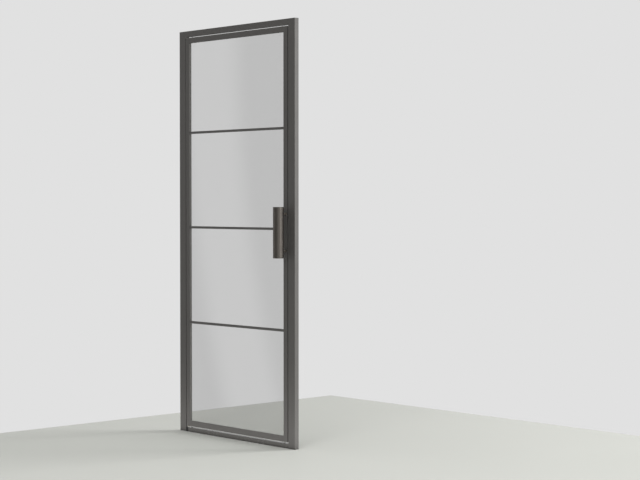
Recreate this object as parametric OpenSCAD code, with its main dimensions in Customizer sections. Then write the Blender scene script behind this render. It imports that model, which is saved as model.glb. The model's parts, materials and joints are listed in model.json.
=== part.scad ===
// Framed glass pivot door: a slim metal frame, and a glazed leaf that turns on pivots
// at its left edge. +X runs across the door to the grip side, -Y is the side that the
// grip stands on, and +Z is up. The origin is on the floor, at the middle of the frame.

/* [Frame] */
// Overall width of the frame
frame_w = 908; // [700:1:1200]
// Overall height of the frame
frame_h = 2100; // [1700:1:2600]
// Depth of the frame, front to back
frame_d = 25; // [21:1:40]
// Face width of each jamb
jamb_w = 48; // [36:1:70]
// Face height of the head
head_h = 29; // [22:1:60]
// Height of the sill
sill_h = 23; // [18:1:40]
// Wall of the frame's hollow sections
tube_wall = 2; // [1.5:0.1:2.4]
// Radius of a fixing hole in the head and the sill
fixing_r = 2.75; // [2:0.25:4]
// Distance between the two fixing holes
fixing_pitch = 500; // [300:10:560]
// Length that a connector block reaches into the head or the sill
block_l = 50; // [45:1:80]
// Height of the plug in each end of a jamb
plug_h = 12; // [8:1:20]
// Wall of a plug
plug_wall = 2; // [1.5:0.5:4]

/* [Leaf] */
// Gap between the leaf and each jamb
side_gap = 7; // [5:0.5:9]
// Gap between the leaf and the head
top_gap = 6; // [5:0.5:12]
// Gap between the leaf and the sill
bottom_gap = 7; // [6.5:0.5:12]
// Thickness of the leaf
leaf_t = 17; // [16.5:0.5:21]
// Setback of the leaf behind the front of the frame
leaf_setback = 0; // [0:0.5:4]
// Face width of the leaf's stiles and rails
profile_w = 28; // [26:1:50]
// Front and back wall of the leaf's sections
profile_wall = 2.5; // [2:0.1:3]
// Outer wall and inner web of the leaf's sections
profile_web = 2; // [1.5:0.1:2.5]
// Depth of the pocket that holds the glass
pocket_depth = 10; // [8:0.5:12]
// Length of each leg of a corner cleat
cleat_leg = 60; // [40:1:120]

/* [Glass and bars] */
// Thickness of the glass
glass_t = 8; // [6:0.5:10]
// Depth of the glass in its pocket
glass_bite = 8; // [5:0.5:9.5]
// Length of a setting block under the glass
setting_l = 80; // [40:5:120]
// Height of the top glass field
top_field_h = 462; // [200:1:700]
// Height of the second glass field
second_field_h = 482; // [200:1:700]
// Height of the third glass field
third_field_h = 486; // [200:1:540]
// Face height of a glazing bar
bar_w = 12; // [6:1:30]
// Thickness of a glazing bar
bar_t = 3.5; // [2:0.5:4]
// Thickness of the tape behind a bar
tape_t = 0.5; // [0.2:0.1:1]

/* [Grip] */
// Diameter of the grip
grip_d = 54; // [25:1:60]
// Length of the grip
grip_l = 250; // [220:5:900]
// Wall of the grip's tube
grip_wall = 3; // [2:0.5:5]
// Clear space between the grip and the leaf
grip_gap = 21; // [18:1:60]
// Distance from the leaf's free edge to the grip's axis
grip_edge = 10.5; // [10:0.5:15]
// Height of the middle of the grip
grip_z = 1058; // [900:1:1200]
// Diameter of a grip post
post_d = 12; // [12:0.5:16]
// Distance between the two grip posts
post_pitch = 180; // [120:5:190]
// Radius of a grip bolt
grip_bolt_r = 3; // [2.5:0.5:3.5]

/* [Pivots] */
// Radius of the pivot pins
pin_r = 3.5; // [2.5:0.25:4]
// Wall of the bottom and top pivot bushes
bush_wall = 1; // [0.8:0.1:1.2]
// Running clearance, on the radius and on each thrust face
run_gap = 0.05; // [0.02:0.01:0.1]
// Length of a pivot pin inside its bush
pin_grip = 18; // [12:1:20]
// Radius of the pivot's thrust faces
thrust_r = 7.5; // [6:0.5:8]
// Height of the collar on the bottom pin
collar_h = 3; // [2:0.5:3.5]
// Thickness of the thrust washer
washer_t = 2; // [1:0.5:2]
// Width of the pivot shoe that shows beside the left jamb
shoe_w = 18; // [8:1:30]

/* [Screws] */
// Radius of a small screw's shank
screw_r = 2; // [1.5:0.25:2.5]
// Radius of a small screw's head
screw_head_r = 3.5; // [3:0.25:3.75]
// Height of a small screw's head
screw_head_h = 1.8; // [1.5:0.1:2.5]
// Clearance of an insert in a hollow section, on each side
slip = 0.1; // [0.05:0.05:0.3]

/* [Hidden] */
$fn = 64;
cut = 1;

// Frame, worked out
in_left = -frame_w / 2 + jamb_w;
in_right = frame_w / 2 - jamb_w;
in_w = in_right - in_left;
head_z = frame_h - head_h;
tube_d = frame_d - 2 * tube_wall;

// Leaf, worked out
leaf_left = in_left + side_gap;
leaf_right = in_right - side_gap;
leaf_w = leaf_right - leaf_left;
leaf_bottom = sill_h + bottom_gap;
leaf_top = head_z - top_gap;
leaf_h = leaf_top - leaf_bottom;
leaf_front = -frame_d / 2 + leaf_setback;
leaf_y = leaf_front + leaf_t / 2;
pocket_w = leaf_t - 2 * profile_wall;
chamber_w = profile_w - pocket_depth - 2 * profile_web;
gasket_t = (pocket_w - glass_t) / 2;
glass_inset = profile_w - glass_bite;
reveal = (leaf_t - glass_t) / 2;

// Glazing bars: height of each bar's lower edge
opening_top = leaf_top - profile_w;
upper_bar_z = opening_top - top_field_h - bar_w;
middle_bar_z = upper_bar_z - second_field_h - bar_w;
lower_bar_z = middle_bar_z - third_field_h - bar_w;
bar_end_gap = 0.3;

// Pivot axis, on the middle of the stile's chamber
pivot_x = leaf_left + profile_web + chamber_w / 2;
pivot_y = leaf_y;
bush_r = pin_r + run_gap + bush_wall;
flange_t = bottom_gap - collar_h - washer_t - 2 * run_gap;
foot_r = pin_r + 1.5;
foot_h = sill_h - 4;
pad_end = pivot_x + thrust_r + 2;
head_bush_z = head_z + tube_wall;
head_bush_h = 14;

// Grip, worked out
grip_x = leaf_right - grip_edge;
grip_y = leaf_front - grip_gap - grip_d / 2;
cap_t = 4;
cap_spigot = 10;
spigot_r = 4;
spigot_reach = grip_wall + 3;
bolt_reach = 16;
bolt_head_r = grip_bolt_r + 2;
bolt_head_h = 3;
bolt_washer_t = 1;

// Screws
block_floor = 4;
jamb_screw_l = block_floor + tube_wall;
block_screw_y = 6;
lock_x = block_l - 10;
lock_l = 10;
cleat_screw_at = cleat_leg - 15;
cleat_screw_l = 9;

// ---- shared shapes ----

// Box with its low corner at p
module box(p, s) {
    translate(p) cube(s);
}

// Hollow rectangular section along Z, standing on the floor plane of its own frame
module hollow(w, d, h) {
    difference() {
        box([-w / 2, -d / 2, 0], [w, d, h]);
        box([-w / 2 + tube_wall, -d / 2 + tube_wall, -cut],
            [w - 2 * tube_wall, d - 2 * tube_wall, h + 2 * cut]);
    }
}

// Hollow section along X, from x = 0 to length l, with its floor at z = 0
module cross_tube(l, h) {
    difference() {
        box([0, -frame_d / 2, 0], [l, frame_d, h]);
        box([-cut, -tube_d / 2, tube_wall], [l + 2 * cut, tube_d, h - 2 * tube_wall]);
    }
}

// Shank and flat head of a small screw: the head's seat is at z = 0 and the shank
// runs down from it
module screw(l) {
    translate([0, 0, -l]) cylinder(r = screw_r, h = l);
    cylinder(r = screw_head_r, h = screw_head_h);
}

// The two fixing holes through the head or the sill
module fixing_holes(z, h) {
    for (side = [-1, 1])
        translate([side * fixing_pitch / 2, 0, z - cut]) cylinder(r = fixing_r, h = h + 2 * cut);
}

// Section of the leaf's stiles and rails: y across the leaf, and the second axis from
// the outer edge to the glass
module profile() {
    difference() {
        translate([-leaf_t / 2, 0]) square([leaf_t, profile_w]);
        translate([-pocket_w / 2, profile_web]) square([pocket_w, chamber_w]);
        translate([-pocket_w / 2, profile_w - pocket_depth]) square([pocket_w, pocket_depth + cut]);
    }
}

// Stile or rail along X with both ends mitred and its outer edge at z = 0
module member(l) {
    intersection() {
        rotate([90, 0, 90]) linear_extrude(l) profile();
        rotate([90, 0, 0]) translate([0, 0, -leaf_t]) linear_extrude(2 * leaf_t)
            polygon([[0, 0], [l, 0], [l - profile_w, profile_w], [profile_w, profile_w]]);
    }
}

// Places of the four corners of the leaf: the child is drawn for the bottom left one
module at_corner(right, top) {
    translate([right ? leaf_right : leaf_left, leaf_y, top ? leaf_top : leaf_bottom])
        mirror([right ? 1 : 0, 0, 0]) mirror([0, 0, top ? 1 : 0]) children();
}

// ---- frame ----

module jamb(side) {
    color("#4c4946") translate([side * (frame_w - jamb_w) / 2, 0, 0]) hollow(jamb_w, frame_d, frame_h);
}

// A jamb with the pilot holes of its block screws
module drilled_jamb(side) {
    difference() {
        jamb(side);
        block_screw_places(side) translate([0, 0, -jamb_screw_l]) cylinder(r = screw_r, h = jamb_screw_l);
    }
}
module left_jamb() { drilled_jamb(-1); }
module right_jamb() { drilled_jamb(1); }

module head() {
    color("#4c4946") difference() {
        translate([in_left, 0, head_z]) cross_tube(in_w, head_h);
        fixing_holes(head_z, head_h);
        translate([pivot_x, pivot_y, head_z - cut]) cylinder(r = bush_r, h = tube_wall + 2 * cut);
        lock_places(true) translate([0, 0, -lock_l]) cylinder(r = screw_r, h = lock_l);
    }
}

module sill() {
    color("#4c4946") difference() {
        translate([in_left + shoe_w, 0, 0]) cross_tube(in_w - shoe_w, sill_h);
        fixing_holes(0, sill_h);
        box([in_left, -tube_d / 2, sill_h - tube_wall - cut],
            [pad_end - in_left, tube_d, tube_wall + 2 * cut]);
        lock_places(false) translate([0, 0, -lock_l]) cylinder(r = screw_r, h = lock_l);
    }
}

// Cup-shaped plug that closes the top end of a jamb, and mirrored the bottom end
module plug(side, top) {
    w = jamb_w - 2 * tube_wall - 2 * slip;
    d = tube_d - 2 * slip;
    color("#1c1c1c") translate([side * (frame_w - jamb_w) / 2, 0, top ? frame_h : 0])
        mirror([0, 0, top ? 0 : 1]) difference() {
            box([-w / 2, -d / 2, -plug_h - 0.5], [w, d, plug_h]);
            box([-w / 2 + plug_wall, -d / 2 + plug_wall, -plug_h - 0.5 - cut],
                [w - 2 * plug_wall, d - 2 * plug_wall, plug_h - plug_wall + cut]);
        }
}
module top_left_plug() { plug(-1, true); }
module top_right_plug() { plug(1, true); }
module bottom_left_plug() { plug(-1, false); }
module bottom_right_plug() { plug(1, false); }

// Screws that hold the connector blocks to the jambs: the child points along the
// screw, with the screw's head seat at its origin
module one_screw_place(side, y, z) {
    translate([side < 0 ? in_left : in_right, y, z]) rotate([0, side * 90, 0])
        translate([0, 0, -block_floor]) rotate([180, 0, 0]) children();
}
module block_screw_places(side) {
    head_screw_z = head_z + head_h - tube_wall - 4.5;
    for (y = [-block_screw_y, block_screw_y]) {
        one_screw_place(side, y, head_screw_z) children();
        if (side > 0) one_screw_place(side, y, sill_h / 2) children();
    }
    if (side < 0) for (z = [-4.5, 4.5]) one_screw_place(side, block_screw_y, sill_h / 2 + z) children();
}

// Screws through the wall that faces the leaf, into the connector blocks
module lock_places(top) {
    for (x = [in_left + lock_x, in_right - lock_x])
        translate([x, 0, top ? head_z : sill_h]) mirror([0, 0, top ? 1 : 0]) children();
}

// Connector block in the end of the head or the sill: from the jamb at x = 0
module block(h) {
    box([0, -tube_d / 2 + slip, tube_wall + slip],
        [block_l, tube_d - 2 * slip, h - 2 * tube_wall - 2 * slip]);
}

// Bores of the block screws: pilot to the jamb and a counterbore for the head
module block_screw_bores(side) {
    block_screw_places(side) {
        translate([0, 0, -jamb_screw_l]) cylinder(r = screw_r, h = jamb_screw_l + cut);
        cylinder(r = screw_head_r + slip, h = block_l + cut);
    }
}

module top_pivot_block() {
    color("#a7a9ab") difference() {
        translate([in_left, 0, head_z]) block(head_h);
        block_screw_bores(-1);
        lock_places(true) translate([0, 0, -lock_l]) cylinder(r = screw_r, h = lock_l);
        translate([pivot_x, pivot_y, head_z]) cylinder(r = bush_r, h = tube_wall + head_bush_h);
    }
}

module head_block() {
    color("#a7a9ab") difference() {
        translate([in_right, 0, head_z]) mirror([1, 0, 0]) block(head_h);
        block_screw_bores(1);
        lock_places(true) translate([0, 0, -lock_l]) cylinder(r = screw_r, h = lock_l);
    }
}

module sill_block() {
    color("#a7a9ab") difference() {
        translate([in_right, 0, 0]) mirror([1, 0, 0]) block(sill_h);
        block_screw_bores(1);
        lock_places(false) translate([0, 0, -lock_l]) cylinder(r = screw_r, h = lock_l);
    }
}

// Shoe under the bottom pivot: its end shows between the jamb and the sill, its pad
// fills the notch in the sill's top wall and its tongue reaches into the sill
module bottom_pivot_shoe() {
    color("#151515") difference() {
        union() {
            box([in_left, -frame_d / 2, 0], [shoe_w, frame_d, sill_h]);
            translate([in_left, 0, 0]) block(sill_h);
            box([in_left, -tube_d / 2 + slip, sill_h / 2],
                [pad_end - slip - in_left, tube_d - 2 * slip, sill_h / 2]);
        }
        block_screw_bores(-1);
        lock_places(false) translate([0, 0, -lock_l]) cylinder(r = screw_r, h = lock_l);
        translate([pivot_x, pivot_y, sill_h - foot_h]) cylinder(r = foot_r, h = foot_h + cut);
    }
}

module top_pivot_bush() {
    color("#8a6b3c") translate([pivot_x, pivot_y, head_z]) difference() {
        cylinder(r = bush_r, h = tube_wall + head_bush_h);
        translate([0, 0, -cut]) cylinder(r = pin_r + run_gap, h = tube_wall + head_bush_h + 2 * cut);
    }
}

module bottom_pivot_pin() {
    color("#b9bbbd") translate([pivot_x, pivot_y, sill_h]) {
        translate([0, 0, -foot_h]) cylinder(r = foot_r, h = foot_h);
        cylinder(r = thrust_r, h = collar_h);
        cylinder(r = pin_r, h = bottom_gap + profile_web + pin_grip);
    }
}

module thrust_washer() {
    color("#d8d5cc") translate([pivot_x, pivot_y, sill_h + collar_h + run_gap]) difference() {
        cylinder(r = thrust_r, h = washer_t);
        translate([0, 0, -cut]) cylinder(r = pin_r + run_gap, h = washer_t + 2 * cut);
    }
}

module block_screws() {
    color("#c4c6c8") for (side = [-1, 1]) block_screw_places(side) screw(jamb_screw_l);
}

module lock_screws() {
    color("#4c4946") for (top = [false, true]) lock_places(top) screw(lock_l);
}

// ---- leaf ----

module left_stile() {
    color("#4c4946") difference() {
        translate([leaf_left, leaf_y, leaf_bottom]) mirror([1, 0, 0]) rotate([0, -90, 0]) member(leaf_h);
        cleat_screw_places() cleat_screw_bore();
    }
}

module right_stile() {
    color("#4c4946") difference() {
        translate([leaf_right, leaf_y, leaf_bottom]) rotate([0, -90, 0]) member(leaf_h);
        cleat_screw_places() cleat_screw_bore();
        post_places() rotate([-90, 0, 0]) translate([0, 0, -cut])
            cylinder(r = grip_bolt_r + slip, h = leaf_t + 2 * cut);
    }
}

module top_rail() {
    color("#4c4946") difference() {
        translate([leaf_left, leaf_y, leaf_top]) mirror([0, 0, 1]) member(leaf_w);
        cleat_screw_places() cleat_screw_bore();
        translate([pivot_x, pivot_y, leaf_top - profile_web - cut])
            cylinder(r = pin_r, h = profile_web + 2 * cut);
    }
}

module bottom_rail() {
    color("#4c4946") difference() {
        translate([leaf_left, leaf_y, leaf_bottom]) member(leaf_w);
        cleat_screw_places() cleat_screw_bore();
        translate([pivot_x, pivot_y, leaf_bottom - cut]) cylinder(r = bush_r, h = profile_web + 2 * cut);
    }
}

// Corner cleat: one leg in the stile's chamber and one in the rail's
module cleat() {
    low = profile_web + slip;
    w = chamber_w - 2 * slip;
    d = pocket_w - 2 * slip;
    box([low, -d / 2, low], [w, d, cleat_leg]);
    box([low, -d / 2, low], [cleat_leg, d, w]);
}

// Screws that hold the cleats: two in each corner, with the seat of each head on the
// outer edge of the leaf
module cleat_screw_places() {
    mid = profile_web + chamber_w / 2;
    for (right = [false, true], top = [false, true]) at_corner(right, top) {
        translate([cleat_screw_at, 0, 0]) rotate([180, 0, 0]) children();
        translate([0, 0, cleat_screw_at]) rotate([0, -90, 0]) children();
    }
}
module cleat_screw_bore() {
    translate([0, 0, -cleat_screw_l]) cylinder(r = screw_r, h = cleat_screw_l + cut);
}
module cleat_screws() {
    color("#4c4946") cleat_screw_places() screw(cleat_screw_l);
}

module top_left_cleat() {
    color("#a7a9ab") difference() {
        at_corner(false, true) cleat();
        cleat_screw_places() cleat_screw_bore();
        translate([pivot_x, pivot_y, leaf_top - profile_web - pin_grip])
            cylinder(r = pin_r, h = pin_grip + cut);
    }
}

module top_right_cleat() {
    color("#a7a9ab") difference() {
        at_corner(true, true) cleat();
        cleat_screw_places() cleat_screw_bore();
    }
}

module bottom_left_cleat() {
    color("#a7a9ab") difference() {
        at_corner(false, false) cleat();
        cleat_screw_places() cleat_screw_bore();
        translate([pivot_x, pivot_y, leaf_bottom]) cylinder(r = bush_r, h = profile_web + pin_grip + 2);
    }
}

module bottom_right_cleat() {
    color("#a7a9ab") difference() {
        at_corner(true, false) cleat();
        cleat_screw_places() cleat_screw_bore();
    }
}

// The pin is fast in the leaf and turns in the bush in the head
module top_pivot_pin() {
    color("#b9bbbd") translate([pivot_x, pivot_y, leaf_top - profile_web - pin_grip])
        cylinder(r = pin_r, h = pin_grip + profile_web + top_gap + tube_wall + head_bush_h - 2);
}

module bottom_pivot_bush() {
    color("#8a6b3c") translate([pivot_x, pivot_y, leaf_bottom]) difference() {
        union() {
            translate([0, 0, -flange_t]) cylinder(r = thrust_r, h = flange_t);
            cylinder(r = bush_r, h = profile_web + pin_grip + 2);
        }
        translate([0, 0, -flange_t - cut])
            cylinder(r = pin_r + run_gap, h = flange_t + profile_web + pin_grip + 2 + 2 * cut);
    }
}

module glass_pane() {
    color("#b4bab8", 0.35)
        box([leaf_left + glass_inset, leaf_y - glass_t / 2, leaf_bottom + glass_inset],
            [leaf_w - 2 * glass_inset, glass_t, leaf_h - 2 * glass_inset]);
}

// Two blocks that carry the glass, in the bottom of the lower rail's pocket
module setting_blocks() {
    t = pocket_depth - glass_bite;
    for (x = [leaf_left + leaf_w / 4, leaf_right - leaf_w / 4])
        color("#202020") box([x - setting_l / 2, leaf_y - pocket_w / 2 + slip, leaf_bottom + glass_inset - t],
            [setting_l, pocket_w - 2 * slip, t]);
}

// Gasket all round one face of the glass, level with the mouth of the pocket
module gasket(y) {
    color("#8c8a86") difference() {
        box([leaf_left + glass_inset, y, leaf_bottom + glass_inset],
            [leaf_w - 2 * glass_inset, gasket_t, leaf_h - 2 * glass_inset]);
        box([leaf_left + profile_w, y - cut, leaf_bottom + profile_w],
            [leaf_w - 2 * profile_w, gasket_t + 2 * cut, leaf_h - 2 * profile_w]);
    }
}
module front_gasket() { gasket(leaf_y - pocket_w / 2); }
module back_gasket() { gasket(leaf_y + glass_t / 2); }

// Glazing bar on tape: side -1 is the front face of the glass and 1 the back
module bar(side, z) {
    l = leaf_w - 2 * profile_w - 2 * bar_end_gap;
    mid = leaf_y + side * (glass_t / 2 + tape_t + bar_t / 2);
    color("#4c4946") box([leaf_left + profile_w + bar_end_gap, mid - bar_t / 2, z], [l, bar_t, bar_w]);
}
module front_upper_bar() { bar(-1, upper_bar_z); }
module front_middle_bar() { bar(-1, middle_bar_z); }
module front_lower_bar() { bar(-1, lower_bar_z); }
module back_upper_bar() { bar(1, upper_bar_z); }
module back_middle_bar() { bar(1, middle_bar_z); }
module back_lower_bar() { bar(1, lower_bar_z); }

module bar_tapes() {
    l = leaf_w - 2 * profile_w - 2 * bar_end_gap;
    color("#202020") for (side = [-1, 1], z = [upper_bar_z, middle_bar_z, lower_bar_z])
        box([leaf_left + profile_w + bar_end_gap, leaf_y + side * (glass_t + tape_t) / 2 - tape_t / 2, z + 1],
            [l, tape_t, bar_w - 2]);
}

// ---- grip ----

// Places of the two posts on the leaf's front face
module post_places() {
    for (side = [-1, 1]) translate([grip_x, leaf_front, grip_z + side * post_pitch / 2]) children();
}

module grip_tube() {
    color("#4a4744") difference() {
        translate([grip_x, grip_y, grip_z - grip_l / 2 + cap_t]) difference() {
            cylinder(d = grip_d, h = grip_l - 2 * cap_t, $fn = 96);
            translate([0, 0, -cut]) cylinder(r = grip_d / 2 - grip_wall, h = grip_l + 2 * cut, $fn = 96);
        }
        post_places() rotate([90, 0, 0]) cylinder(r = spigot_r, h = grip_gap + grip_d / 2);
    }
}

// End cap: a disc on the end of the tube with a spigot inside it
module grip_cap(side) {
    color("#4a4744") translate([grip_x, grip_y, grip_z + side * grip_l / 2]) mirror([0, 0, side > 0 ? 1 : 0]) {
        cylinder(d = grip_d, h = cap_t, $fn = 96);
        cylinder(r = grip_d / 2 - grip_wall - slip, h = cap_t + cap_spigot, $fn = 96);
    }
}
module grip_top_cap() { grip_cap(1); }
module grip_bottom_cap() { grip_cap(-1); }

// Post with its end shaped to the tube, and a spigot through the tube's wall
module post(side) {
    reach = grip_gap + grip_d / 2 - sqrt(pow(grip_d / 2, 2) - pow(post_d / 2, 2));
    color("#4a4744") translate([grip_x, leaf_front, grip_z + side * post_pitch / 2]) difference() {
        union() {
            difference() {
                rotate([90, 0, 0]) cylinder(d = post_d, h = reach);
                translate([0, -grip_gap - grip_d / 2, -post_d])
                    cylinder(d = grip_d + slip, h = 2 * post_d, $fn = 96);
            }
            rotate([90, 0, 0]) cylinder(r = spigot_r, h = grip_gap + spigot_reach);
        }
        rotate([90, 0, 0]) translate([0, 0, -cut]) cylinder(r = grip_bolt_r, h = bolt_reach + cut);
    }
}
module upper_post() { post(1); }
module lower_post() { post(-1); }

module grip_bolts() {
    color("#c4c6c8") post_places() {
        rotate([90, 0, 0]) translate([0, 0, -leaf_t - bolt_washer_t])
            cylinder(r = grip_bolt_r, h = leaf_t + bolt_washer_t + bolt_reach);
        rotate([-90, 0, 0]) translate([0, 0, leaf_t + bolt_washer_t])
            cylinder(r = bolt_head_r, h = bolt_head_h);
    }
}

module grip_washers() {
    color("#c4c6c8") post_places() rotate([-90, 0, 0]) translate([0, 0, leaf_t]) difference() {
        cylinder(d = post_d, h = bolt_washer_t);
        translate([0, 0, -cut]) cylinder(r = grip_bolt_r, h = bolt_washer_t + 2 * cut);
    }
}

left_jamb();
right_jamb();
head();
sill();
top_left_plug();
top_right_plug();
bottom_left_plug();
bottom_right_plug();
top_pivot_block();
head_block();
sill_block();
bottom_pivot_shoe();
top_pivot_bush();
bottom_pivot_pin();
thrust_washer();
block_screws();
lock_screws();
left_stile();
right_stile();
top_rail();
bottom_rail();
top_left_cleat();
top_right_cleat();
bottom_left_cleat();
bottom_right_cleat();
cleat_screws();
top_pivot_pin();
bottom_pivot_bush();
glass_pane();
setting_blocks();
front_gasket();
back_gasket();
front_upper_bar();
front_middle_bar();
front_lower_bar();
back_upper_bar();
back_middle_bar();
back_lower_bar();
bar_tapes();
grip_tube();
grip_top_cap();
grip_bottom_cap();
upper_post();
lower_post();
grip_bolts();
grip_washers();
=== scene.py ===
import json
import math

import bmesh
import bpy
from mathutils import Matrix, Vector


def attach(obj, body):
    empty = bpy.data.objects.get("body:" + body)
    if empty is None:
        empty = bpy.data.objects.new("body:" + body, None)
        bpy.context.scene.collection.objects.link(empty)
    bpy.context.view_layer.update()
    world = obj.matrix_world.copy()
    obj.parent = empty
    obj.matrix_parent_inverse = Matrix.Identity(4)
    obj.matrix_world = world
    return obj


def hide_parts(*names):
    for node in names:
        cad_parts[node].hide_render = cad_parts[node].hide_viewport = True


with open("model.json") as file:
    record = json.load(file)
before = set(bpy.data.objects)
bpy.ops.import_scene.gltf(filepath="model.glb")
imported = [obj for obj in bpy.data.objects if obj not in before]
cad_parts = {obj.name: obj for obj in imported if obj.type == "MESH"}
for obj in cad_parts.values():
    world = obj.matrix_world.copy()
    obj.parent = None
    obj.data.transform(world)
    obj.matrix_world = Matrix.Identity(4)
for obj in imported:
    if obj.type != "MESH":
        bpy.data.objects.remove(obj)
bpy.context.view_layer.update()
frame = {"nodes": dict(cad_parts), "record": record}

# A framed glass pivot door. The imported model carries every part's size and place. Here
# the parts get rounded arrises, socketed screws and their finishes, and the door stands
# on a pale floor in soft light. Lengths are in metres.

MM = 0.001
RECORD = frame["record"]
BODY_OF = {node: body for body, nodes in RECORD["behaviour"]["bodies"].items() for node in nodes}


# ---- materials ----

# The colour of each drawn finish, and the paler tone of its lines
FRAME_BRONZE = ("#53514f", "#5a5856")
GRIP_BRONZE = ("#69645f", "#726d68")
# The posts' tone is painted paler than the grip's, as painted light against the shade behind the tube
POST_BRONZE_PAINTED_PALE = ("#aaa298", "#b4aca2")

# A powder coat over metal gleams more than paint and less than bare metal
FRAME_METALLIC = 0.35
GRIP_METALLIC = 0.9

DRAWN_LENGTH = 90  # a drawn line's length over its spacing
DRAWN_BUMP = {"Strength": 0.08, "Distance": 0.02 * MM}
DRAWN_SPREAD = 0.04
PATCH_SIZE = 60 * MM
MOULDED_SPREAD = 0.06
MOULDED_BUMP_STRENGTH = 0.3

GLASS_TINT = "#d9d9d9"
GLASS_LIGHT_TINT = "#e8e9e8"
GLASS_IOR = 1.5


def linear(code):
    """An sRGB hex colour as the linear values that a shader takes."""
    parts = [int(code[i:i + 2], 16) / 255 for i in (1, 3, 5)]
    return [c / 12.92 if c <= 0.04045 else ((c + 0.055) / 1.055) ** 2.4 for c in parts] + [1.0]


def add(tree, kind, settings=None, links=None):
    """A node of this kind, with its settings and inputs, and with links into its inputs.
    A settings key that names an attribute of the node sets it; any other names an input."""
    node = tree.nodes.new(kind)
    for key, value in (settings or {}).items():
        if isinstance(key, str) and hasattr(node, key):
            setattr(node, key, value)
        else:
            node.inputs[key].default_value = value
    for key, source in (links or {}).items():
        tree.links.new(source, node.inputs[key])
    return node


def new_material(name):
    """An empty node material: returns it with its tree."""
    material = bpy.data.materials.new(name)
    material.use_nodes = True
    material.node_tree.nodes.clear()
    return material, material.node_tree


def finish_surface(tree, shader):
    add(tree, "ShaderNodeOutputMaterial", links={"Surface": shader.outputs[0]})


def drawn_metal(name, tones, roughness, grain_along, grain_mm, metallic=1.0):
    """Metal whose surface keeps the fine lines of the die or the belt that it ran
    through: grain_along is the axis that they follow, grain_mm their spacing."""
    material, tree = new_material(name)
    place = add(tree, "ShaderNodeTexCoord").outputs["Object"]
    across = 1 / (grain_mm * MM)
    scale = [across / DRAWN_LENGTH if axis == grain_along else across for axis in "XYZ"]
    lines_at = add(tree, "ShaderNodeMapping", {"Scale": scale}, {"Vector": place})
    lines = add(tree, "ShaderNodeTexNoise", {"Scale": 1.0, "Detail": 2.0, "Roughness": 0.6},
                {"Vector": lines_at.outputs[0]})
    # The surface is a little duller in patches, and the lines add half as much to that
    patches = add(tree, "ShaderNodeTexNoise", {"Scale": 1 / PATCH_SIZE, "Detail": 3.0},
                  {"Vector": place})
    dull = add(tree, "ShaderNodeMath", {"operation": "MULTIPLY_ADD", 1: 0.5},
               {0: lines.outputs["Fac"], 2: patches.outputs["Fac"]})
    rough = add(tree, "ShaderNodeMapRange",
                {"From Min": 0.45, "From Max": 1.05,
                 "To Min": roughness - DRAWN_SPREAD, "To Max": roughness + DRAWN_SPREAD},
                {"Value": dull.outputs[0]})
    tone = add(tree, "ShaderNodeMix", {"data_type": "RGBA", 6: linear(tones[0]), 7: linear(tones[1])},
               {0: lines.outputs["Fac"]})
    bump = add(tree, "ShaderNodeBump", DRAWN_BUMP, {"Height": lines.outputs["Fac"]})
    shader = add(tree, "ShaderNodeBsdfPrincipled", {"Metallic": metallic},
                 {"Base Color": tone.outputs[2], "Roughness": rough.outputs[0],
                  "Normal": bump.outputs[0]})
    finish_surface(tree, shader)
    return material


def plain_solid(name, colour, roughness, grain_mm, depth_mm, metallic=0.0):
    """Moulded, cast or plated solid: one colour with a fine even grain that breaks up
    its gloss."""
    material, tree = new_material(name)
    place = add(tree, "ShaderNodeTexCoord").outputs["Object"]
    grain = add(tree, "ShaderNodeTexNoise", {"Scale": 1 / (grain_mm * MM), "Detail": 3.0},
                {"Vector": place})
    rough = add(tree, "ShaderNodeMapRange",
                {"From Min": 0.3, "From Max": 0.7,
                 "To Min": roughness - MOULDED_SPREAD, "To Max": roughness + MOULDED_SPREAD},
                {"Value": grain.outputs["Fac"]})
    bump = add(tree, "ShaderNodeBump", {"Strength": MOULDED_BUMP_STRENGTH, "Distance": depth_mm * MM},
               {"Height": grain.outputs["Fac"]})
    shader = add(tree, "ShaderNodeBsdfPrincipled",
                 {"Base Color": linear(colour), "Metallic": metallic},
                 {"Roughness": rough.outputs[0], "Normal": bump.outputs[0]})
    finish_surface(tree, shader)
    return material


def grey_float_glass():
    """Float glass with a light grey tint, polished and flat: it shows the room behind
    it a quarter darker. Light for matt surfaces goes straight through it."""
    material, tree = new_material("grey_float_glass")
    pane = add(tree, "ShaderNodeBsdfPrincipled",
               {"Base Color": linear(GLASS_TINT), "Roughness": 0.0, "IOR": GLASS_IOR,
                "Transmission Weight": 1.0})
    lit_through = add(tree, "ShaderNodeBsdfTransparent", {"Color": linear(GLASS_LIGHT_TINT)})
    ray = add(tree, "ShaderNodeLightPath").outputs
    shaded = add(tree, "ShaderNodeMixShader",
                 links={0: ray["Is Shadow Ray"], 1: pane.outputs[0], 2: lit_through.outputs[0]})
    mixed = add(tree, "ShaderNodeMixShader",
                links={0: ray["Is Diffuse Ray"], 1: shaded.outputs[0], 2: lit_through.outputs[0]})
    finish_surface(tree, mixed)
    return material


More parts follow.
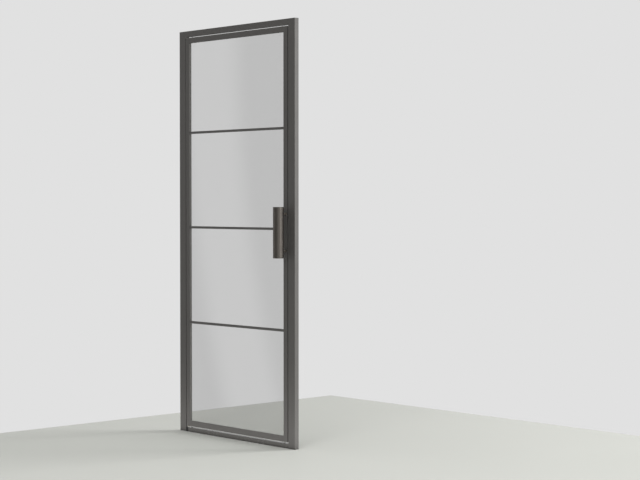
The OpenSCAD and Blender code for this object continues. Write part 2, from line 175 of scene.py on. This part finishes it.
FINISHES = {
    # Powder-coated steel in satin bronze grey: a soft dark gleam without a mirror, whose
    # faint lines run along each member. The lines are drawn coarser than real ones
    "upright_metal": drawn_metal("satin_powder_coat_upright", FRAME_BRONZE, 0.55, "Z", 0.5,
                                 FRAME_METALLIC),
    "level_metal": drawn_metal("satin_powder_coat_level", FRAME_BRONZE, 0.55, "X", 0.5,
                               FRAME_METALLIC),
    # The same coat polished by feet: at a low angle the sill's top mirrors the room
    "sill_metal": drawn_metal("worn_powder_coat_sill", FRAME_BRONZE, 0.26, "X", 0.5,
                              FRAME_METALLIC),
    # Anodised drawn tube in warm bronze: a bright band down its length fades to dark sides
    "grip_metal": drawn_metal("bronze_anodised_tube", GRIP_BRONZE, 0.36, "Z", 0.4, GRIP_METALLIC),
    # Turned bronze, painted much paler than the grip: painted light, so that the posts keep their tone in
    # the shade behind the tube
    "post_metal": drawn_metal("post_bronze_painted_paler_for_shade", POST_BRONZE_PAINTED_PALE, 0.45, "Y", 0.4),
    # Tinted glass: quiet grey with one soft slanting sheen
    "clear_glass": grey_float_glass(),
    # Moulded polyamide: near black, with a dull even gloss and a fine mould grain
    "black_plastic": plain_solid("black_polyamide", "#1b1b1b", 0.55, 0.6, 0.03),
    # Extruded EPDM: matt mid grey, so that the line round the glass is soft, not black
    "grey_rubber": plain_solid("grey_epdm_rubber", "#7e7c78", 0.6, 0.4, 0.02),
    # Acrylic foam tape: dead matt black, seen only edge on beside a bar
    "foam_tape": plain_solid("black_acrylic_foam", "#202020", 0.8, 0.3, 0.05),
    # Turned acetal: milky white with a low waxy gloss
    "white_plastic": plain_solid("natural_acetal", "#dad6cc", 0.4, 0.8, 0.01),
    # Sawn aluminium: pale and frosted
    "cast_metal": plain_solid("sawn_aluminium", "#b6b8ba", 0.45, 0.5, 0.02, 1.0),
    # Zinc plate: bright, cool and slightly mottled
    "steel": plain_solid("zinc_plated_steel", "#b4b6b8", 0.32, 0.4, 0.01, 1.0),
    # Black zinc plate: a dark oily gleam, close to the frame in tone
    "dark_steel": plain_solid("black_zinc_plated_steel", "#5a5856", 0.38, 0.4, 0.01, 1.0),
    # Sintered bronze: brown gold, with open pores that keep it dull
    "bronze": plain_solid("sintered_bronze", "#9a7a48", 0.5, 0.3, 0.02, 1.0),
}


# ---- making pieces ----

SHARP_EDGE = math.radians(35)    # a sharper edge keeps its crease in the shading
ARRIS_EDGE = math.radians(50)    # a sharper edge gets an arris
ARRIS_SEGMENTS = 3
SAME_PLACE = 0.001 * MM
SAME_PLANE = math.radians(1)
SCREW_RIM = 0.3 * MM
TOP_OVER_HEAD = 0.8
MANY_SIDES = 24
HEXAGON_TURN = math.radians(60)


def finished_object(bm, finish, node):
    """Turns a bmesh into a piece that stands for a CAD node and moves with it."""
    name = node + "_finished"
    bmesh.ops.recalc_face_normals(bm, faces=bm.faces)
    for face in bm.faces:
        face.smooth = True
    mesh = bpy.data.meshes.new(name)
    bm.to_mesh(mesh)
    bm.free()
    mesh.set_sharp_from_angle(angle=SHARP_EDGE)
    mesh.materials.append(FINISHES[finish])
    piece = bpy.data.objects.new(name, mesh)
    bpy.context.scene.collection.objects.link(piece)
    even = piece.modifiers.new("even_normals", "WEIGHTED_NORMAL")
    even.keep_sharp = True
    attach(piece, BODY_OF[node])
    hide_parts(node)


def node_shape(node):
    """A CAD node's shape as a merged bmesh with whole flat faces."""
    bm = bmesh.new()
    bm.from_mesh(frame["nodes"][node].data)
    bmesh.ops.remove_doubles(bm, verts=bm.verts, dist=SAME_PLACE)
    bmesh.ops.dissolve_limit(bm, angle_limit=SAME_PLANE, verts=bm.verts, edges=bm.edges,
                             use_dissolve_boundaries=False, delimit=set())
    return bm


def round_arrises(bm, radius):
    """Rounds every sharp edge."""
    edges = [e for e in bm.edges if len(e.link_faces) == 2 and e.calc_face_angle() > ARRIS_EDGE]
    bmesh.ops.bevel(bm, geom=edges, offset=radius, offset_type="OFFSET", segments=ARRIS_SEGMENTS,
                    profile=0.5, affect="EDGES", clamp_overlap=True, material=-1)


def soften(node, finish, radius):
    bm = node_shape(node)
    round_arrises(bm, radius)
    finished_object(bm, finish, node)


def cut_socket(bm, face, across_flats, depth):
    """Sinks a hexagon socket into a screw head's flat top: the top is inset, its inner
    ring is drawn in to a hexagon, and the face inside the ring goes down."""
    normal = face.normal.copy()
    centre = face.calc_center_median()
    radius = max((v.co - centre).length for v in face.verts)
    bmesh.ops.inset_individual(bm, faces=[face], thickness=radius - across_flats / 2)
    side = normal.orthogonal().normalized()
    across = normal.cross(side)
    for v in face.verts:
        spoke = v.co - centre
        angle = math.atan2(spoke.dot(across), spoke.dot(side)) % HEXAGON_TURN
        off_flat = angle - HEXAGON_TURN / 2
        v.co = centre + spoke.normalized() * (across_flats / 2) / math.cos(off_flat)
    bottom = bmesh.ops.extrude_discrete_faces(bm, faces=[face])["faces"]
    bmesh.ops.translate(bm, vec=normal * -depth, verts=bottom[0].verts)


def sink_sockets(node, finish, head_radius, across_flats, depth):
    """Gives each screw head a rounded rim and a hexagon socket in its top, which is the
    only many-sided face nearly as wide as the head."""
    bm = node_shape(node)
    round_arrises(bm, SCREW_RIM)
    least_area = math.pi * (head_radius * TOP_OVER_HEAD) ** 2
    tops = [f for f in bm.faces if len(f.verts) > MANY_SIDES and f.calc_area() > least_area]
    for top in tops:
        cut_socket(bm, top, across_flats, depth)
    finished_object(bm, finish, node)


UPRIGHTS = ["left_jamb", "right_jamb", "left_stile", "right_stile"]
LEVELS = ["head", "top_rail", "bottom_rail"]
BARS = [side + "_" + place + "_bar" for side in ("front", "back")
        for place in ("upper", "middle", "lower")]
PLUGS = ["top_left_plug", "top_right_plug", "bottom_left_plug", "bottom_right_plug",
         "bottom_pivot_shoe"]
CLEATS = ["top_left_cleat", "top_right_cleat", "bottom_left_cleat", "bottom_right_cleat"]

# Each node's finish and the radius of its arrises in millimetres
SOFTENED = {
    **{node: ("upright_metal", 0.5) for node in UPRIGHTS},
    **{node: ("level_metal", 0.5) for node in LEVELS},
    "sill": ("sill_metal", 0.5),
    **{node: ("level_metal", 0.4) for node in BARS},
    **{node: ("black_plastic", 0.5) for node in PLUGS},
    # The cap and the tube both turn in at their joint, which leaves a hairline seam
    "grip_top_cap": ("grip_metal", 0.4), "grip_bottom_cap": ("grip_metal", 0.4),
    "grip_tube": ("grip_metal", 0.25),
    "upper_post": ("post_metal", 0.2), "lower_post": ("post_metal", 0.2),
    "glass_pane": ("clear_glass", 0.8),
    "front_gasket": ("grey_rubber", 0.6), "back_gasket": ("grey_rubber", 0.6),
    "thrust_washer": ("white_plastic", 0.4), "grip_washers": ("steel", 0.25),
    "top_pivot_pin": ("dark_steel", 0.4), "bottom_pivot_pin": ("steel", 0.3),
    "top_pivot_bush": ("bronze", 0.2), "bottom_pivot_bush": ("bronze", 0.2),
}
for node, (finish, radius) in SOFTENED.items():
    soften(node, finish, radius * MM)

# Each node's finish, then in millimetres the radius of a head, and its socket's width
# across flats and depth
SOCKETED = {
    "grip_bolts": ("steel", 5, 5, 1.8),
    "cleat_screws": ("dark_steel", 3.5, 3, 1.1),
    "lock_screws": ("dark_steel", 3.5, 3, 1.1),
    "block_screws": ("steel", 3.5, 3, 1.1),
}
for node, (finish, head_radius, across_flats, depth) in SOCKETED.items():
    sink_sockets(node, finish, head_radius * MM, across_flats * MM, depth * MM)

# The rest keeps its CAD shape, because it is inside a section or under a bar
KEPT = {
    "setting_blocks": "black_plastic",
    "bar_tapes": "foam_tape",
    **{node: "cast_metal" for node in ["top_pivot_block", "head_block", "sill_block"] + CLEATS},
}
for node, finish in KEPT.items():
    mesh = frame["nodes"][node].data
    mesh.materials.clear()
    mesh.materials.append(FINISHES[finish])


# ---- camera, floor and light ----

# The eye stands on the grip side, 47 degrees round from the front, and looks a little down
EYE_AT = (6.1544, -5.118, 1.2078)
EYE_ROUND = math.radians(47.235)
EYE_DOWN = math.radians(1.385)
LENS_MM = 88.64
SENSOR_MM = 36.0

FLOOR_CORNERS = ((-1.009, -12.0), (14.0, 1.6))
FLOOR_DROP = 0.5 * MM    # keeps the floor clear of the sill's underside
FLOOR_TONES = ("#b5b6b1", "#babbb6")
FLOOR_GLOSS = 0.02
SEAL_ROUGHNESS = 0.28

ROOM_COLOUR = "#e1e1e1"
REAR_POWER = 660
FLOOR_REAR_POWER = 800
SIDE_POWER = 24
FRONT_POWER = 45
STRIP_POWER = 6.6        # watts per square metre
STRIPS = {"floor_strip_front": ((1.9, 0.3), (0.0, -0.18)),
          "floor_strip_side": ((0.3, 1.0), (0.64, 0.0))}
STRIP_HEIGHT = 1 * MM

BOARD_AT = (-1.9, -3.4, 2.4)
BOARD_ROUND = math.radians(-30)
BOARD_CORNERS = ((-13.0, -4.6), (7.5, 2.4))
BOARD_FADE = 2.5         # it fades from this far left of its middle to this far right
BOARD_LIGHT = 0.31
BOARD_DARK = 0.14
STREAK_LIGHT = 1.15
STREAK_AT = -1.70
STREAK_SLOPE = 0.0091
STREAK_BEND = -0.0434
STREAK_CORE = 0.10
STREAK_EDGE = 0.34


def stand_in_scene(name, data):
    thing = bpy.data.objects.new(name, data)
    bpy.context.scene.collection.objects.link(thing)
    return thing


def camera():
    data = bpy.data.cameras.new("camera")
    data.lens = LENS_MM
    data.sensor_width = SENSOR_MM
    thing = stand_in_scene("camera", data)
    thing.location = EYE_AT
    thing.rotation_euler = (math.pi / 2 - EYE_DOWN, 0, EYE_ROUND)
    bpy.context.scene.camera = thing


def flat_mesh(name, corners):
    """A rectangle in the XY plane between two corners."""
    (x0, y0), (x1, y1) = corners
    bm = bmesh.new()
    bmesh.ops.create_grid(bm, x_segments=1, y_segments=1, size=0.5)
    bmesh.ops.scale(bm, vec=(x1 - x0, y1 - y0, 1), verts=bm.verts)
    bmesh.ops.translate(bm, vec=((x0 + x1) / 2, (y0 + y1) / 2, 0), verts=bm.verts)
    mesh = bpy.data.meshes.new(name)
    bm.to_mesh(mesh)
    bm.free()
    return mesh


def sealed_floor():
    """Pale sealed floor: a very faint soft reflection over an even matt tone."""
    material, tree = new_material("pale_sealed_floor")
    place = add(tree, "ShaderNodeTexCoord").outputs["Object"]
    clouds = add(tree, "ShaderNodeTexNoise", {"Scale": 0.8, "Detail": 2.0}, {"Vector": place})
    tone = add(tree, "ShaderNodeMix",
               {"data_type": "RGBA", 6: linear(FLOOR_TONES[0]), 7: linear(FLOOR_TONES[1])},
               {0: clouds.outputs["Fac"]})
    matt = add(tree, "ShaderNodeBsdfDiffuse", links={"Color": tone.outputs[2]})
    seal = add(tree, "ShaderNodeBsdfGlossy", {"Roughness": SEAL_ROUGHNESS})
    both = add(tree, "ShaderNodeMixShader", {0: FLOOR_GLOSS}, {1: matt.outputs[0], 2: seal.outputs[0]})
    finish_surface(tree, both)
    return material


def floor():
    """The floor ends about a metre and a half behind the door, and half a metre past
    its pivot side."""
    mesh = flat_mesh("floor", FLOOR_CORNERS)
    mesh.materials.append(sealed_floor())
    thing = stand_in_scene("floor", mesh)
    thing.location.z = -FLOOR_DROP


def lamp(name, power, size, place, aim):
    """A soft rectangular lamp that lights the door without being seen itself."""
    data = bpy.data.lights.new(name, "AREA")
    data.shape = "RECTANGLE"
    data.size, data.size_y = size
    data.energy = power
    thing = stand_in_scene(name, data)
    thing.location = place
    thing.rotation_euler = (Vector(aim) - Vector(place)).to_track_quat("-Z", "Y").to_euler()
    thing.visible_camera = False
    thing.visible_transmission = False
    return thing


def tall_lamp(name, power, link_state, linked):
    """The lamp far behind the grip side, which draws the bright edge and the long
    shadow. It lights only the linked objects, or all but them."""
    thing = lamp(name, power, size=(3.6, 6.0), place=(4.1, 6.9, 3.0), aim=(0, 0, 1.3))
    receivers = bpy.data.collections.new(name + "_receivers")
    for receiver in linked:
        receivers.objects.link(bpy.data.objects[receiver])
    for entry in receivers.collection_objects:
        entry.light_linking.link_state = link_state
    thing.light_linking.receiver_collection = receivers
    return thing


def pale_room():
    world = bpy.data.worlds.new("pale_room")
    bpy.context.scene.world = world
    world.use_nodes = True
    tree = world.node_tree
    tree.nodes.clear()
    glow = add(tree, "ShaderNodeBackground", {"Color": linear(ROOM_COLOUR), "Strength": 1.0})
    add(tree, "ShaderNodeOutputWorld", links={"Surface": glow.outputs[0]})


def soft_lamps():
    """The tall lamp behind, and weaker ones beside the grip, in front and on the floor."""
    # The pane and the floor take no light from the tall lamp, because they would mirror
    # a white oblong. The floor has its own, a fifth stronger, which no reflection meets
    tall_lamp("tall_rear_lamp", REAR_POWER, "EXCLUDE", ["glass_pane_finished", "floor"])
    tall_lamp("tall_rear_lamp_for_floor", FLOOR_REAR_POWER, "INCLUDE", ["floor"]).visible_glossy = False
    lamp("side_lamp", SIDE_POWER, size=(1.6, 3.0), place=(5.2, 0.3, 1.6), aim=(0.4, 0, 1.1))
    front = lamp("front_lamp", FRONT_POWER, size=(2.2, 2.2), place=(2.4, -3.6, 3.6), aim=(0, 0, 0.9))
    front.visible_glossy = False
    # Two strips that lie on the floor facing up stand for the bright floor close by
    for name, (size, (x, y)) in STRIPS.items():
        strip = lamp(name, STRIP_POWER * size[0] * size[1], size, (x, y, STRIP_HEIGHT), (x, y, 1))
        strip.visible_glossy = False


def graded_glow():
    """Light that fades toward the board's right end, with a soft streak down it. The
    streak's middle is where x + slope * y + bend * y squared is STREAK_AT."""
    material, tree = new_material("graded_board")
    place = add(tree, "ShaderNodeTexCoord").outputs["Object"]
    across = add(tree, "ShaderNodeSeparateXYZ", links={0: place})
    level = add(tree, "ShaderNodeMapRange",
                {"interpolation_type": "SMOOTHSTEP", "From Min": -BOARD_FADE, "From Max": BOARD_FADE,
                 "To Min": BOARD_LIGHT, "To Max": BOARD_DARK}, {"Value": across.outputs["X"]})
    lean = add(tree, "ShaderNodeMath", {"operation": "MULTIPLY_ADD", 0: STREAK_BEND, 2: STREAK_SLOPE},
               {1: across.outputs["Y"]})
    slanted = add(tree, "ShaderNodeMath", {"operation": "MULTIPLY_ADD"},
                  {0: across.outputs["Y"], 1: lean.outputs[0], 2: across.outputs["X"]})
    off_middle = add(tree, "ShaderNodeMath", {"operation": "SUBTRACT", 1: STREAK_AT},
                     {0: slanted.outputs[0]})
    away = add(tree, "ShaderNodeMath", {"operation": "ABSOLUTE"}, {0: off_middle.outputs[0]})
    streak = add(tree, "ShaderNodeMapRange",
                 {"interpolation_type": "SMOOTHSTEP", "From Min": STREAK_CORE, "From Max": STREAK_EDGE,
                  "To Min": STREAK_LIGHT, "To Max": 0.0}, {"Value": away.outputs[0]})
    total = add(tree, "ShaderNodeMath", {"operation": "ADD"}, {0: level.outputs[0], 1: streak.outputs[0]})
    glow = add(tree, "ShaderNodeEmission", links={"Strength": total.outputs[0]})
    finish_surface(tree, glow)
    return material


def graded_board():
    """An upright board that only reflections meet. It stands where the front of the
    door mirrors the room: it keeps those faces darker than the door's edge, and its
    streak is the slanting sheen on the glass."""
    mesh = flat_mesh("graded_board", BOARD_CORNERS)
    mesh.materials.append(graded_glow())
    thing = stand_in_scene("graded_board", mesh)
    thing.location = BOARD_AT
    thing.rotation_euler = (math.pi / 2, 0, BOARD_ROUND)
    for kind in ("camera", "diffuse", "transmission", "volume_scatter", "shadow"):
        setattr(thing, "visible_" + kind, False)


bpy.context.scene.view_settings.view_transform = "Standard"
camera()
floor()
pale_room()
soft_lamps()
graded_board()
